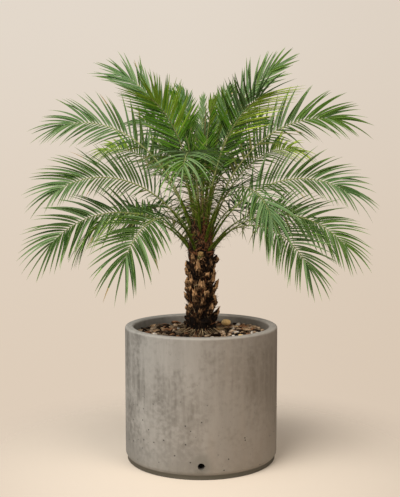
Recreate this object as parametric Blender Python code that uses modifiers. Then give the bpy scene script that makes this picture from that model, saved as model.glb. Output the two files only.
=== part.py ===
"""A phoenix palm with a short knobbly trunk, standing in a round concrete pot.

Metres, +Z up. The origin is on the pot's axis, in the plane of its flat underside.
The front of the plant faces -Y.
"""

import math
import random

import bmesh
import bpy
from mathutils import Matrix, Vector
from mathutils.bvhtree import BVHTree

# Driving dimensions

CLEARANCE = 0.0003

POT_DIAMETER = 0.50
POT_HEIGHT = 0.44
RIM_WALL = 0.028
RIM_ROUNDING = 0.007
POT_FLOOR = 0.032
FOOT_INSET = 0.006
FOOT_HEIGHT = 0.018
BORE_TAPER = 0.012
DRAIN_HOLE_DIAMETER = 0.022
DRAIN_HOLE_HEIGHT = 0.044
POT_SIDES = 56

MULCH_DEPTH_BELOW_RIM = 0.028
MULCH_EDGE_DROP = 0.003
MULCH_FLAT_RADIUS = 0.110

TRUNK_HEIGHT = 0.275
TRUNK_RADIUS = 0.036
TRUNK_FLARE_RADIUS = 0.046
TRUNK_SWELL = 1.08
HEART_RADIUS = 0.042
HEART_HEIGHT = 0.120
HEART_TOP_RADIUS = 0.011
HEART_STEPS = 5
TRUNK_SIDES = 14

STUB_COUNT = 56
STUB_WIDTH = 0.027
STUB_THICKNESS = 0.012
STUB_LENGTH = 0.036
STUB_END_SHARE = 0.72
STUB_SUNK_DEPTH = 0.004
STUB_LEAN = math.radians(24)
ROOT_COUNT = 9
ROOT_REACH = 0.032
ROOT_WIDTH = 0.016
ROOT_END_SHARE = 0.35
ROOT_START_RADIUS = 0.029
ROOT_START_HEIGHT = 0.010
ROOT_LEAN = math.radians(103)

SPEAR_LENGTH = 0.370
SPEAR_RADIUS = 0.0042
SPEAR_LEAN = math.radians(2.5)

# The longest rib on which petiole and leaflets are still scaled down.
FULL_LENGTH = 0.56
SUNK_SHARE = 0.68
PETIOLE_SHARE = 0.24
PETIOLE_RADIUS = 0.0062
RIB_RADIUS = 0.0028
RIB_TIP_RADIUS = 0.0016
RIB_POINTS = 10

LEAFLET_PAIRS = 9
LEAFLET_LENGTH = 0.150
LEAFLET_WIDTH = 0.018
LEAFLET_THICKNESS = 0.0026
LEAFLET_ROOT_WIDTH = 0.0020
LEAFLET_WIDEST_SHARE = 0.36
ROOT_SINK = 0.0003
LEAFLET_LIFT = math.radians(5)
BASE_SPREAD = math.radians(62)
TIP_SPREAD = math.radians(24)
PAIR_STAGGER = 0.12
NEIGHBOUR_GAP = 0.0012

GOLDEN_ANGLE = math.radians(137.508)

# Each ring of fronds has the height on the heart that it leaves from, the share
# of its bend that comes late, and the length and sag of its leaflets.
RINGS = {
    "low": {"height": 0.675, "bend": 1.0, "leaflet": 1.0, "sag": 0.24},
    "middle": {"height": 0.706, "bend": 1.3, "leaflet": 1.0, "sag": 0.16},
    "upper": {"height": 0.733, "bend": 1.6, "leaflet": 1.0, "sag": 0.11},
    "top": {"height": 0.756, "bend": 1.9, "leaflet": 0.82, "sag": 0.12},
    "young": {"height": 0.780, "bend": 1.6, "leaflet": 0.75, "sag": 0.06},
}
RING_COLOURS = {
    "low": (0.050, 0.105, 0.040, 1),
    "middle": (0.055, 0.120, 0.042, 1),
    "upper": (0.060, 0.135, 0.045, 1),
    "top": (0.085, 0.190, 0.025, 1),
    "young": (0.110, 0.240, 0.020, 1),
}

# The fronds of each ring: azimuth, rise at the heart, droop by the tip and roll
# of the blade, all in degrees, and the length in metres, petiole included.
FRONDS = {
    "low": [
        (195, 59, 107, 47, 0.53),
        (240, 63, 121, 25, 0.49),
        (310, 50, 101, -30, 0.51),
        (345, 59, 108, -50, 0.51),
        (148, 56, 104, 30, 0.52),
        (28, 58, 106, -30, 0.53),
        (60, 60, 100, -15, 0.54),
        (93, 58, 104, 0, 0.54),
        (121, 60, 102, 15, 0.54),
    ],
    "middle": [
        (200, 63, 96, 58, 0.545),
        (350, 63, 96, -58, 0.535),
        (297, 67, 125, -20, 0.53),
        (138, 70, 82, 40, 0.60),
        (42, 69, 80, -40, 0.60),
        (76, 70, 88, -12, 0.57),
        (107, 70, 88, 12, 0.57),
    ],
    "upper": [
        (166, 71, 86, 72, 0.65),
        (10, 74, 81, -72, 0.63),
        (264, 74, 110, 0, 0.54),
        (90, 76, 78, 0, 0.57),
        (128, 76, 72, 30, 0.56),
        (52, 76, 72, -30, 0.56),
    ],
    "top": [
        (235, 78, 59, -30, 0.56),
        (312, 76, 50, 33, 0.49),
        (148, 79, 54, 45, 0.61),
        (25, 81, 48, -55, 0.61),
        (66, 80, 42, -20, 0.52),
        (107, 80, 46, 10, 0.53),
    ],
    "young": [
        (212, 86, 22, 0, 0.40),
        (286, 84, 25, 0, 0.38),
        (340, 86, 20, 0, 0.40),
        (87, 86, 28, 0, 0.42),
    ],
}

MULCH_TOP = POT_HEIGHT - MULCH_DEPTH_BELOW_RIM
TRUNK_FOOT = MULCH_TOP + CLEARANCE
TRUNK_TOP = TRUNK_FOOT + TRUNK_HEIGHT - CLEARANCE
HEART_TOP = TRUNK_TOP + HEART_HEIGHT

RANDOM = random.Random(7)


def new_collection(name, hidden=False):
    collection = bpy.data.collections.new(name)
    collection.hide_render = hidden
    bpy.context.scene.collection.children.link(collection)
    return collection


def plain_material(name, colour, roughness):
    material = bpy.data.materials.new(name)
    material.use_nodes = True
    shader = material.node_tree.nodes["Principled BSDF"]
    shader.inputs["Base Color"].default_value = colour
    shader.inputs["Roughness"].default_value = roughness
    shader.inputs["Metallic"].default_value = 0.0
    return material


def link(obj, collection, material=None):
    collection.objects.link(obj)
    if material:
        obj.data.materials.clear()
        obj.data.materials.append(material)
    return obj


def baked(obj):
    """The object's mesh with its modifiers applied."""
    graph = bpy.context.evaluated_depsgraph_get()
    return bpy.data.meshes.new_from_object(obj.evaluated_get(graph))


def bake(obj):
    """Applies all modifiers of the object."""
    mesh = baked(obj)
    obj.modifiers.clear()
    obj.data = mesh
    return obj


def remove(obj):
    bpy.data.objects.remove(obj, do_unlink=True)


def smooth(obj, degrees=35):
    obj.data.shade_smooth()
    obj.data.set_sharp_from_angle(angle=math.radians(degrees))


def turned(name, profile, sides, collection, material=None):
    """A solid of revolution about Z. The profile runs from its top on the axis, down its outer side."""
    mesh = bpy.data.meshes.new(name)
    edges = [(i, i + 1) for i in range(len(profile) - 1)]
    mesh.from_pydata([(radius, 0.0, height) for radius, height in profile], edges, [])
    obj = link(bpy.data.objects.new(name, mesh), collection, material)
    screw = obj.modifiers.new("Turn", "SCREW")
    screw.steps = sides
    screw.render_steps = sides
    screw.use_merge_vertices = True
    screw.merge_threshold = 0.00005
    return bake(obj)


def rounding(centre_radius, centre_height, size, start_degrees, end_degrees, steps=2):
    """Points on a quarter round of a profile."""
    points = []
    for step in range(steps + 1):
        angle = math.radians(start_degrees + (end_degrees - start_degrees) * step / steps)
        points.append((centre_radius + size * math.cos(angle), centre_height + size * math.sin(angle)))
    return points


# Pot and mulch


def make_pot(collection, cutters, material):
    outer = POT_DIAMETER / 2
    inner = outer - RIM_WALL
    bore_foot = inner - BORE_TAPER
    rim_centre = POT_HEIGHT - RIM_ROUNDING
    profile = [(0.0, POT_FLOOR), (bore_foot, POT_FLOOR)]
    profile += rounding(inner + RIM_ROUNDING, rim_centre, RIM_ROUNDING, 180, 90)
    profile += rounding(outer - RIM_ROUNDING, rim_centre, RIM_ROUNDING, 90, 0)
    profile += [(outer, FOOT_HEIGHT), (outer - FOOT_INSET, FOOT_HEIGHT * 0.55)]
    profile += [(outer - FOOT_INSET, 0.002), (outer - FOOT_INSET - 0.002, 0.0), (0.0, 0.0)]
    pot = turned("pot", profile, POT_SIDES, collection, material)

    bpy.ops.mesh.primitive_cylinder_add(
        vertices=16,
        radius=DRAIN_HOLE_DIAMETER / 2,
        depth=4 * RIM_WALL,
        location=(0, -outer + RIM_WALL / 2, DRAIN_HOLE_HEIGHT),
        rotation=(math.pi / 2, 0, 0),
    )
    drill = bpy.context.object
    drill.name = "drain_hole_cutter"
    move_to(drill, cutters)
    drill.display_type = "WIRE"
    drill.hide_render = True
    cut = pot.modifiers.new("Drain hole", "BOOLEAN")
    cut.operation = "DIFFERENCE"
    cut.object = drill
    smooth(pot)
    return pot


def move_to(obj, collection):
    for holder in list(obj.users_collection):
        holder.objects.unlink(obj)
    collection.objects.link(obj)


def make_mulch(collection, material):
    inner = POT_DIAMETER / 2 - RIM_WALL
    top_radius = inner - CLEARANCE - BORE_TAPER * MULCH_DEPTH_BELOW_RIM / (POT_HEIGHT - POT_FLOOR)
    foot_radius = inner - BORE_TAPER - CLEARANCE
    foot = POT_FLOOR + CLEARANCE
    profile = [
        (0.0, MULCH_TOP),
        (MULCH_FLAT_RADIUS, MULCH_TOP),
        (0.75 * top_radius, MULCH_TOP - 0.3 * MULCH_EDGE_DROP),
        (top_radius - CLEARANCE, MULCH_TOP - MULCH_EDGE_DROP),
        (foot_radius - CLEARANCE, foot),
        (0.0, foot),
    ]
    mulch = turned("mulch", profile, POT_SIDES, collection, material)
    smooth(mulch)
    return mulch


# Trunk


def heart_radius(height):
    """Radius of the trunk's fibrous heart, which narrows upwards from the trunk's top."""
    share = min(1.0, max(0.0, (height - TRUNK_TOP) / HEART_HEIGHT))
    return HEART_RADIUS + (HEART_TOP_RADIUS - HEART_RADIUS) * share**1.25


def trunk_profile(spare=0.0):
    """The trunk's outline from its top to its foot, grown by spare."""
    profile = [(0.0, HEART_TOP + spare)]
    for step in range(HEART_STEPS + 1):
        height = HEART_TOP - HEART_HEIGHT * step / HEART_STEPS
        profile.append((heart_radius(height) + spare, height + (spare if step == 0 else 0.0)))
    swollen = TRUNK_RADIUS * TRUNK_SWELL
    for depth_share, radius in ((0.12, HEART_RADIUS), (0.25, TRUNK_RADIUS), (0.85, swollen)):
        profile.append((radius + spare, TRUNK_TOP - depth_share * TRUNK_HEIGHT))
    profile.append((TRUNK_FLARE_RADIUS + spare, TRUNK_FOOT))
    profile.append((0.0, TRUNK_FOOT))
    return profile


def add_peg(bm, length, width, thickness, end_share, matrix):
    """A four-sided tapered peg along local +Z, from the origin."""
    made = bmesh.ops.create_cone(
        bm,
        cap_ends=True,
        segments=4,
        radius1=0.5 * math.sqrt(2),
        radius2=0.5 * math.sqrt(2) * end_share,
        depth=1.0,
        matrix=matrix
        @ Matrix.Diagonal((width, thickness, length, 1.0))
        @ Matrix.Translation((0, 0, 0.5))
        @ Matrix.Rotation(math.pi / 4, 4, "Z"),
    )
    return made["verts"]


def peg_object(name, collection, length, width, thickness, end_share, matrix):
    bm = bmesh.new()
    add_peg(bm, length, width, thickness, end_share, matrix)
    mesh = bpy.data.meshes.new(name)
    bm.to_mesh(mesh)
    bm.free()
    return link(bpy.data.objects.new(name, mesh), collection)


def stub_matrix(azimuth, height, radius, lean):
    """A frame on the trunk's side, with +Z pointing up and out and +Y facing outwards."""
    return (
        Matrix.Rotation(azimuth, 4, "Z")
        @ Matrix.Translation((radius, 0, height))
        @ Matrix.Rotation(lean, 4, "Y")
        @ Matrix.Rotation(-math.pi / 2, 4, "Z")
    )


def make_trunk(collection, cutters, material):
    trunk = turned("trunk", trunk_profile(), TRUNK_SIDES, collection, material)
    stubs = new_collection("trunk_additions")
    lowest = TRUNK_FOOT - 0.3 * STUB_LENGTH
    rise = (TRUNK_HEIGHT - 0.6 * STUB_LENGTH) / STUB_COUNT
    for number in range(STUB_COUNT):
        height = lowest + rise * number
        share = number / STUB_COUNT
        radius = TRUNK_RADIUS * (TRUNK_SWELL + (1 - TRUNK_SWELL) * share) - STUB_SUNK_DEPTH
        length = STUB_LENGTH * RANDOM.uniform(0.88, 1.12)
        width = STUB_WIDTH * RANDOM.uniform(0.90, 1.10)
        lean = STUB_LEAN * RANDOM.uniform(0.85, 1.15)
        matrix = stub_matrix(number * GOLDEN_ANGLE, height, radius, lean)
        peg_object("stub", stubs, length, width, STUB_THICKNESS, STUB_END_SHARE, matrix)
    for number in range(ROOT_COUNT):
        azimuth = math.tau * (number + RANDOM.uniform(-0.2, 0.2)) / ROOT_COUNT
        reach = ROOT_REACH * RANDOM.uniform(0.8, 1.15)
        matrix = (
            Matrix.Rotation(azimuth, 4, "Z")
            @ Matrix.Translation((ROOT_START_RADIUS, 0, TRUNK_FOOT + ROOT_START_HEIGHT))
            @ Matrix.Rotation(ROOT_LEAN, 4, "Y")
        )
        peg_object("root", stubs, reach, ROOT_WIDTH, ROOT_WIDTH, ROOT_END_SHARE, matrix)
    join(trunk, stubs)

    bpy.ops.mesh.primitive_cube_add(size=1.0, location=(0, 0, TRUNK_FOOT - 0.5))
    ground = bpy.context.object
    ground.name = "ground_cutter"
    move_to(ground, cutters)
    ground.display_type = "WIRE"
    ground.hide_render = True
    cut = trunk.modifiers.new("Flat foot", "BOOLEAN")
    cut.operation = "DIFFERENCE"
    cut.object = ground
    bake(trunk)
    smooth(trunk, 30)
    return trunk


def is_closed(mesh):
    """Whether every edge has exactly two faces."""
    bm = bmesh.new()
    bm.from_mesh(mesh)
    closed = all(edge.is_manifold for edge in bm.edges)
    bm.free()
    return closed


def join(obj, additions):
    """One union of the object with everything in the collection, which is then emptied and removed."""
    union = obj.modifiers.new("Union", "BOOLEAN")
    union.operation = "UNION"
    union.operand_type = "COLLECTION"
    union.collection = additions
    union.solver = "EXACT"
    if not is_closed(baked(obj)):
        union.solver = "MANIFOLD"
    bake(obj)
    for addition in list(additions.objects):
        remove(addition)
    bpy.data.collections.remove(additions)


# Fronds


class Frond:
    """A frond's rib and blade, worked out from its ring and its own row."""

    STEPS = 48

    def __init__(self, ring, row):
        azimuth, rise, droop, roll, self.length = row
        self.ring = ring
        self.out = Vector((math.cos(math.radians(azimuth)), math.sin(math.radians(azimuth)), 0))
        self.across = Vector((-self.out.y, self.out.x, 0))
        self.rise = math.radians(rise)
        self.droop = math.radians(droop)
        self.roll = math.radians(roll)
        self.shares = [(step / (RIB_POINTS - 1)) ** 1.15 for step in range(RIB_POINTS)]
        path = self.walk()
        self.points = [path[round(share * self.STEPS)] for share in self.shares]

    def slope(self, share):
        """Angle of the rib above the level at this share of its length."""
        return self.rise - self.droop * share ** self.ring["bend"]

    def walk(self):
        """Fine steps along the rib, from a start sunk in the heart."""
        height = self.ring["height"]
        place = self.out * (SUNK_SHARE * heart_radius(height)) + Vector((0, 0, height))
        path = [place]
        for step in range(self.STEPS):
            slope = self.slope((step + 0.5) / self.STEPS)
            along = self.out * math.cos(slope) + Vector((0, 0, math.sin(slope)))
            place = place + along * (self.length / self.STEPS)
            path.append(place)
        return path

    def point(self, share):
        """The place on the rib's straight stretches at this share of its length."""
        first = max(i for i in range(RIB_POINTS - 1) if self.shares[i] <= share)
        start, end = self.shares[first], self.shares[first + 1]
        return self.points[first].lerp(self.points[first + 1], (share - start) / (end - start))

    def axes(self, share):
        """Unit vectors along the rib, across the blade and out of its upper face."""
        slope = self.slope(share)
        along = self.out * math.cos(slope) + Vector((0, 0, math.sin(slope)))
        face = along.cross(self.across)
        roll = self.roll * min(1.0, share / 0.4)
        face = face * math.cos(roll) + self.across * math.sin(roll)
        return along, face.cross(along), face


def rib_radius(share, length):
    """The petiole narrows quickly to the slender rib, which tapers to the tip."""
    petiole = PETIOLE_RADIUS * length / FULL_LENGTH
    if share < PETIOLE_SHARE:
        return petiole + (RIB_RADIUS - petiole) * (share / PETIOLE_SHARE) ** 0.7
    return RIB_RADIUS + (RIB_TIP_RADIUS - RIB_RADIUS) * (share - PETIOLE_SHARE) / (1 - PETIOLE_SHARE)


def tapered_tube(name, points, radii, collection, roll=0.0):
    """A four-sided tube along the points, as a closed mesh, with flat sides to its left and right."""
    curve = bpy.data.curves.new(name, "CURVE")
    curve.dimensions = "3D"
    curve.twist_mode = "Z_UP"
    curve.bevel_depth = 1.0
    curve.bevel_resolution = 0
    curve.use_fill_caps = True
    spline = curve.splines.new("POLY")
    spline.points.add(len(points) - 1)
    for spline_point, point, radius in zip(spline.points, points, radii):
        spline_point.co = (*point, 1.0)
        spline_point.radius = radius
        spline_point.tilt = math.pi / 4 - roll
    guide = link(bpy.data.objects.new(name + "_guide", curve), collection)
    mesh = baked(guide)
    remove(guide)
    bm = bmesh.new()
    bm.from_mesh(mesh)
    bmesh.ops.remove_doubles(bm, verts=bm.verts, dist=0.00001)
    bmesh.ops.recalc_face_normals(bm, faces=bm.faces)
    bm.to_mesh(mesh)
    bm.free()
    return link(bpy.data.objects.new(name, mesh), collection)


def make_rib(name, frond, heart, collection):
    """The petiole and rib, cut clear of the trunk's heart."""
    radii = [rib_radius(share, frond.length) for share in frond.shares]
    rib = tapered_tube(name, frond.points, radii, collection, frond.roll)
    cut = rib.modifiers.new("Clear of the heart", "BOOLEAN")
    cut.operation = "DIFFERENCE"
    cut.object = heart
    return bake(rib)


def leaflet_template():
    """A unit leaflet of three-sided section along +Z: root, widest part, then its point."""
    bm = bmesh.new()
    bmesh.ops.create_cone(
        bm,
        cap_ends=True,
        segments=3,
        radius1=LEAFLET_ROOT_WIDTH / LEAFLET_WIDTH,
        radius2=1.0,
        depth=LEAFLET_WIDEST_SHARE,
        matrix=Matrix.Translation((0, 0, LEAFLET_WIDEST_SHARE / 2)),
    )
    wide_end = [face for face in bm.faces if face.normal.z > 0.9]
    bmesh.ops.poke(bm, faces=wide_end, offset=1.0 - LEAFLET_WIDEST_SHARE)
    corners = [(vert.co.x, vert.co.y, vert.co.z) for vert in bm.verts]
    faces = [[vert.index for vert in face.verts] for face in bm.faces]
    bm.free()
    return corners, faces


TEMPLATE_CORNERS, TEMPLATE_FACES = leaflet_template()


def leaflet_points(base, along, across, face, length, sag, spare=0.0):
    """The template bent to one leaflet's length, width, thickness and sag."""
    half_width = LEAFLET_WIDTH / 2 + spare
    keel = LEAFLET_THICKNESS / 1.5 + spare
    points = []
    for x, y, z in TEMPLATE_CORNERS:
        point = base + across * (y * half_width / 0.866) - face * (x * keel)
        point += along * (z * (length + spare))
        point.z -= sag * length * z * z
        points.append(point)
    return points


def leaflet_length(place):
    """Leaflets are longest beyond the middle of the blade and a little shorter at both its ends."""
    if place < 0.5:
        return LEAFLET_LENGTH * (0.60 + 0.40 * math.sin(math.pi * place))
    return LEAFLET_LENGTH * (1.0 - 0.15 * (2 * place - 1) ** 2)


def leaflet_slots(frond):
    """Place along the rib and side of each leaflet, from the tip inwards, with 0 for the end leaflet."""
    yield 1.0, 0
    for pair in reversed(range(LEAFLET_PAIRS)):
        place = (pair + 0.5) / LEAFLET_PAIRS
        for side in (1, -1):
            yield place + side * PAIR_STAGGER / LEAFLET_PAIRS, side


def leaflet_choices():
    """The lift and length of a leaflet, and the changes tried where its own place isn't free."""
    for shortening in (1.0, 0.85, 0.7):
        for lift in (0, 10, -10, 20, -20):
            yield math.radians(lift), shortening


def leaflet_shape(frond, place, side, lift, length, spread, spare=0.0):
    share = min(1.0, PETIOLE_SHARE + (1 - PETIOLE_SHARE) * place)
    rib_along, rib_across, rib_face = frond.axes(share)
    outward = rib_across * (side * math.cos(lift)) + rib_face * math.sin(lift)
    along = (rib_along * math.cos(spread) + outward * math.sin(spread)).normalized()
    across = rib_face.cross(along).normalized()
    face = along.cross(across)
    base = frond.point(share) - along * ROOT_SINK
    return leaflet_points(base, along, across, face, length, frond.ring["sag"], spare)


def frond_leaflets(frond, neighbours):
    """The corner points of each leaflet that finds a clear place."""
    kept = []
    scale = frond.ring["leaflet"] * min(1.0, frond.length / FULL_LENGTH)
    for place, side in leaflet_slots(frond):
        spread = BASE_SPREAD + (TIP_SPREAD - BASE_SPREAD) * place**0.9 if side else 0.0
        spread += math.radians(RANDOM.uniform(-2.5, 2.5))
        own_lift = LEAFLET_LIFT + math.radians(RANDOM.uniform(-5, 5))
        own_length = leaflet_length(place) * scale * RANDOM.uniform(0.95, 1.05)
        for lift, shortening in leaflet_choices():
            shape = (frond, place, side, own_lift + lift, own_length * shortening, spread)
            probe = BVHTree.FromPolygons(leaflet_shape(*shape, NEIGHBOUR_GAP), TEMPLATE_FACES)
            if not any(probe.overlap(other) for other in neighbours):
                kept.append(leaflet_shape(*shape))
                break
    return kept


def surface_of(obj):
    """The object's surface, for finding what lies too near it."""
    corners = [obj.matrix_world @ vertex.co for vertex in obj.data.vertices]
    return BVHTree.FromPolygons(corners, [list(face.vertices) for face in obj.data.polygons])


def make_fronds(collection, heart, others):
    named = []
    for ring_name, rows in FRONDS.items():
        material = plain_material("frond_" + ring_name, RING_COLOURS[ring_name], 0.55)
        for number, row in enumerate(rows, 1):
            name = f"frond_{ring_name}_{number}"
            frond = Frond(RINGS[ring_name], row)
            rib = make_rib(name, frond, heart, collection)
            rib.data.materials.clear()
            rib.data.materials.append(material)
            named.append((frond, rib))

    fixed = [surface_of(obj) for obj in others]
    ribs = [surface_of(rib) for _, rib in named]
    grown = []
    for index, (frond, rib) in enumerate(named):
        neighbours = fixed + ribs[:index] + ribs[index + 1 :] + grown
        shapes = frond_leaflets(frond, neighbours)
        additions = new_collection("leaflets")
        for points in shapes:
            mesh = bpy.data.meshes.new("leaflet")
            mesh.from_pydata(points, [], TEMPLATE_FACES)
            link(bpy.data.objects.new("leaflet", mesh), additions)
            grown.append(BVHTree.FromPolygons(points, TEMPLATE_FACES))
        join(rib, additions)


def make_spear(collection, material):
    """The unopened leaf that stands up from the heart."""
    foot = Vector((0, 0, HEART_TOP + CLEARANCE))
    lean = Vector((math.sin(SPEAR_LEAN), 0, math.cos(SPEAR_LEAN)))
    shares = [0.0, 0.15, 0.5, 0.8, 1.0]
    points = [foot + lean * (SPEAR_LENGTH * share) for share in shares]
    points[0] = foot
    radii = [SPEAR_RADIUS * size for size in (1.0, 1.15, 0.95, 0.6, 0.15)]
    spear = tapered_tube("spear_leaf", points, radii, collection)
    spear.data.materials.append(material)
    return spear


def main():
    for obj in list(bpy.data.objects):
        bpy.data.objects.remove(obj, do_unlink=True)
    palm = new_collection("phoenix_palm")
    cutters = new_collection("cutters", hidden=True)

    pot = make_pot(palm, cutters, plain_material("concrete", (0.30, 0.29, 0.26, 1), 0.85))
    mulch = make_mulch(palm, plain_material("bark_mulch", (0.10, 0.055, 0.030, 1), 0.95))
    trunk = make_trunk(palm, cutters, plain_material("trunk_fibre", (0.085, 0.050, 0.028, 1), 0.95))
    spear = make_spear(palm, plain_material("spear_leaf", (0.20, 0.12, 0.06, 1), 0.6))
    heart = turned("heart_cutter", trunk_profile(CLEARANCE), TRUNK_SIDES, cutters)
    heart.display_type = "WIRE"
    heart.hide_render = True
    make_fronds(palm, heart, (pot, mulch, trunk, spear))


main()
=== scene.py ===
"""The looks of a potted phoenix palm: fine fronds, a knobbly trunk, bark mulch and a concrete pot.

Metres, +Z up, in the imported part's own frame. The front of the plant faces -Y.
"""

import math
import random

import bmesh
import bpy
import numpy as np
from mathutils import Matrix, Vector, noise


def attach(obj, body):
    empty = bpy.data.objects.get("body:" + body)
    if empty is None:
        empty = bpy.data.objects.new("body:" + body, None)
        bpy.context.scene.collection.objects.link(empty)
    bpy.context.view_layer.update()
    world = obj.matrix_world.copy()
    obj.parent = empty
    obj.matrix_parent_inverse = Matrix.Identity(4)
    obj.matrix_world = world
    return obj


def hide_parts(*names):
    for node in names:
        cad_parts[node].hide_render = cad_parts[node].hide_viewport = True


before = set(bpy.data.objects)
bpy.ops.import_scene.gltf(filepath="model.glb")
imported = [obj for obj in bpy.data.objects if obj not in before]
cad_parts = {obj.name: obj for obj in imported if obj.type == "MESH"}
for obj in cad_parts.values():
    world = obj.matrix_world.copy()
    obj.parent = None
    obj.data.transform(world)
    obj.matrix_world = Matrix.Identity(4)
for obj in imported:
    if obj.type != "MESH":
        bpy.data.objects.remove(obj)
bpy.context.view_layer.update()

# Sizes shared with the solids

POT_DIAMETER = 0.50
POT_HEIGHT = 0.44
RIM_WALL = 0.028
RIM_ROUNDING = 0.007
FOOT_INSET = 0.006
FOOT_HEIGHT = 0.018
DRAIN_HOLE_DIAMETER = 0.022
DRAIN_HOLE_HEIGHT = 0.044
MULCH_TOP = 0.412

TRUNK_FOOT = 0.4123
TRUNK_TOP = 0.687
TRUNK_HEIGHT = 0.275
TRUNK_RADIUS = 0.036
TRUNK_FLARE_RADIUS = 0.046
TRUNK_SWELL = 1.08
HEART_RADIUS = 0.042
HEART_HEIGHT = 0.120
HEART_TOP_RADIUS = 0.011
HEART_TOP = TRUNK_TOP + HEART_HEIGHT

SPEAR_LENGTH = 0.370
SPEAR_RADIUS = 0.0042
SPEAR_LEAN = math.radians(2.5)

FULL_LENGTH = 0.56
SUNK_SHARE = 0.68
PETIOLE_SHARE = 0.24

LEAFLET_LENGTH = 0.150
LEAFLET_LIFT = math.radians(5)

GOLDEN_ANGLE = math.radians(137.508)

# Rings of fronds: where they leave the heart, how late they bend down, how far their leaflets
# sag, and the ways that differ from the common ones below.
RINGS = {
    "low": {"height": 0.675, "bend": 1.0, "sag": 0.15, "tip_spread": 38, "arch": 0.6, "shaded": 0.1},
    "middle": {
        "height": 0.706, "bend": 1.3, "sag": 0.14, "tip_spread": 32, "under": 0.74, "shaded": 0.1,
    },
    "upper": {"height": 0.733, "bend": 1.6, "sag": 0.10, "tip_spread": 27, "under": 0.80},
    "top": {
        "height": 0.756, "bend": 1.9, "sag": 0.03, "leaflet": 0.86, "slim": 0.86,
        "base_spread": 48, "arch": 0.35,
    },
    "young": {
        "height": 0.780, "bend": 1.6, "sag": 0.05, "leaflet": 0.75, "slim": 0.86,
        "base_spread": 46, "arch": 0.5, "shaded": 0.2,
    },
}

# How a blade grows unless its ring or the frond itself says otherwise. Places on a blade run
# from 0 at the petiole to 1 at the tip.
COMMON_WAYS = {
    "leaflet": 1.0,  # length of the leaflets
    "reach": 1.0,  # how much longer they are at the tip
    "pairs": 35,
    "arch": 1.0,  # how much they rise and then bend down
    "base_spread": 57,  # their angle from the rib beside the petiole, in degrees
    "tip_spread": 16,  # and at the tip
    "closing": 1.2,  # how late they close to the rib
    "slim": 1.0,  # their width
    "under": 1.0,  # length and width of those underneath a rolled blade
    "wispy": 0.32,  # up to where they are shorter, thinner and looser
    "loose": 0.0,  # how loosely they lie all along
    # Those near the petiole that take the darker related tint are painted shade
    "shaded": 0.6,  # how many near the petiole take another tint
    "end_from": 0.72,  # where the tint of the end takes over
    "patch": None,  # a patch of another tint, as its tint, side, start and end
}
# The fronds at the back, between two azimuths, are denser and looser, with more painted shade near the
# petiole.
BACK_AZIMUTHS = (15, 160)
BACK_WAYS = {"wispy": 0.42, "slim": 0.96, "loose": 0.18, "shaded": 0.7, "pairs": 38}

# Azimuth, rise at the heart, droop by the tip and roll of the blade, in degrees,
# the length in metres, and the tints of the blade and of its outer end.
FRONDS = {
    "low": [
        (195, 59, 107, 47, 0.53, "deep", "deep"),
        (240, 63, 121, 25, 0.49, "deep", "deep"),
        (310, 50, 101, -30, 0.51, "deep", "deep"),
        (345, 59, 108, -50, 0.51, "deep", "mid"),
        (148, 56, 104, 30, 0.52, "mid", "mid"),
        (28, 58, 106, -30, 0.53, "deep", "bluish"),
        (60, 60, 100, -15, 0.54, "deep", "mid"),
        (93, 58, 104, 0, 0.54, "deep", "mid"),
        (121, 60, 102, 15, 0.54, "deep", "bluish"),
    ],
    "middle": [
        (200, 63, 96, 58, 0.545, "deep", "bluish"),
        (350, 63, 96, -58, 0.535, "deep", "bluish"),
        (297, 67, 125, -20, 0.53, "deep", "bluish"),
        (138, 70, 82, 40, 0.60, "mid", "lime"),
        (42, 69, 80, -40, 0.60, "mid", "golden"),
        (76, 70, 88, -12, 0.57, "deep", "mid"),
        (107, 70, 88, 12, 0.57, "deep", "bluish"),
    ],
    "upper": [
        (166, 71, 86, 72, 0.65, "deep", "bluish"),
        (10, 73, 82, -72, 0.63, "deep", "mid"),
        (263, 72, 114, 0, 0.54, "fresh", "sage"),
        (90, 76, 78, 0, 0.57, "deep", "bluish"),
        (128, 76, 72, 30, 0.56, "bluish", "mid"),
        (52, 76, 72, -30, 0.56, "deep", "mid"),
    ],
    "top": [
        (235, 78, 56, -30, 0.49, "fresh", "yellow_green"),
        (312, 78, 56, 22, 0.50, "fresh", "bluish"),
        (148, 79, 54, 45, 0.61, "bluish", "bluish"),
        (25, 81, 48, -55, 0.61, "bluish", "sage"),
        (66, 80, 42, -20, 0.52, "bluish", "mid"),
        (107, 80, 46, 10, 0.53, "mid", "bluish"),
    ],
    "young": [
        (212, 86, 22, 0, 0.40, "fresh", "fresh"),
        (286, 84, 25, 0, 0.38, "fresh", "yellow_green"),
        (340, 86, 20, 0, 0.35, "fresh", "yellow_green"),
        (87, 86, 28, 0, 0.42, "bluish", "sage"),
    ],
}

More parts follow.
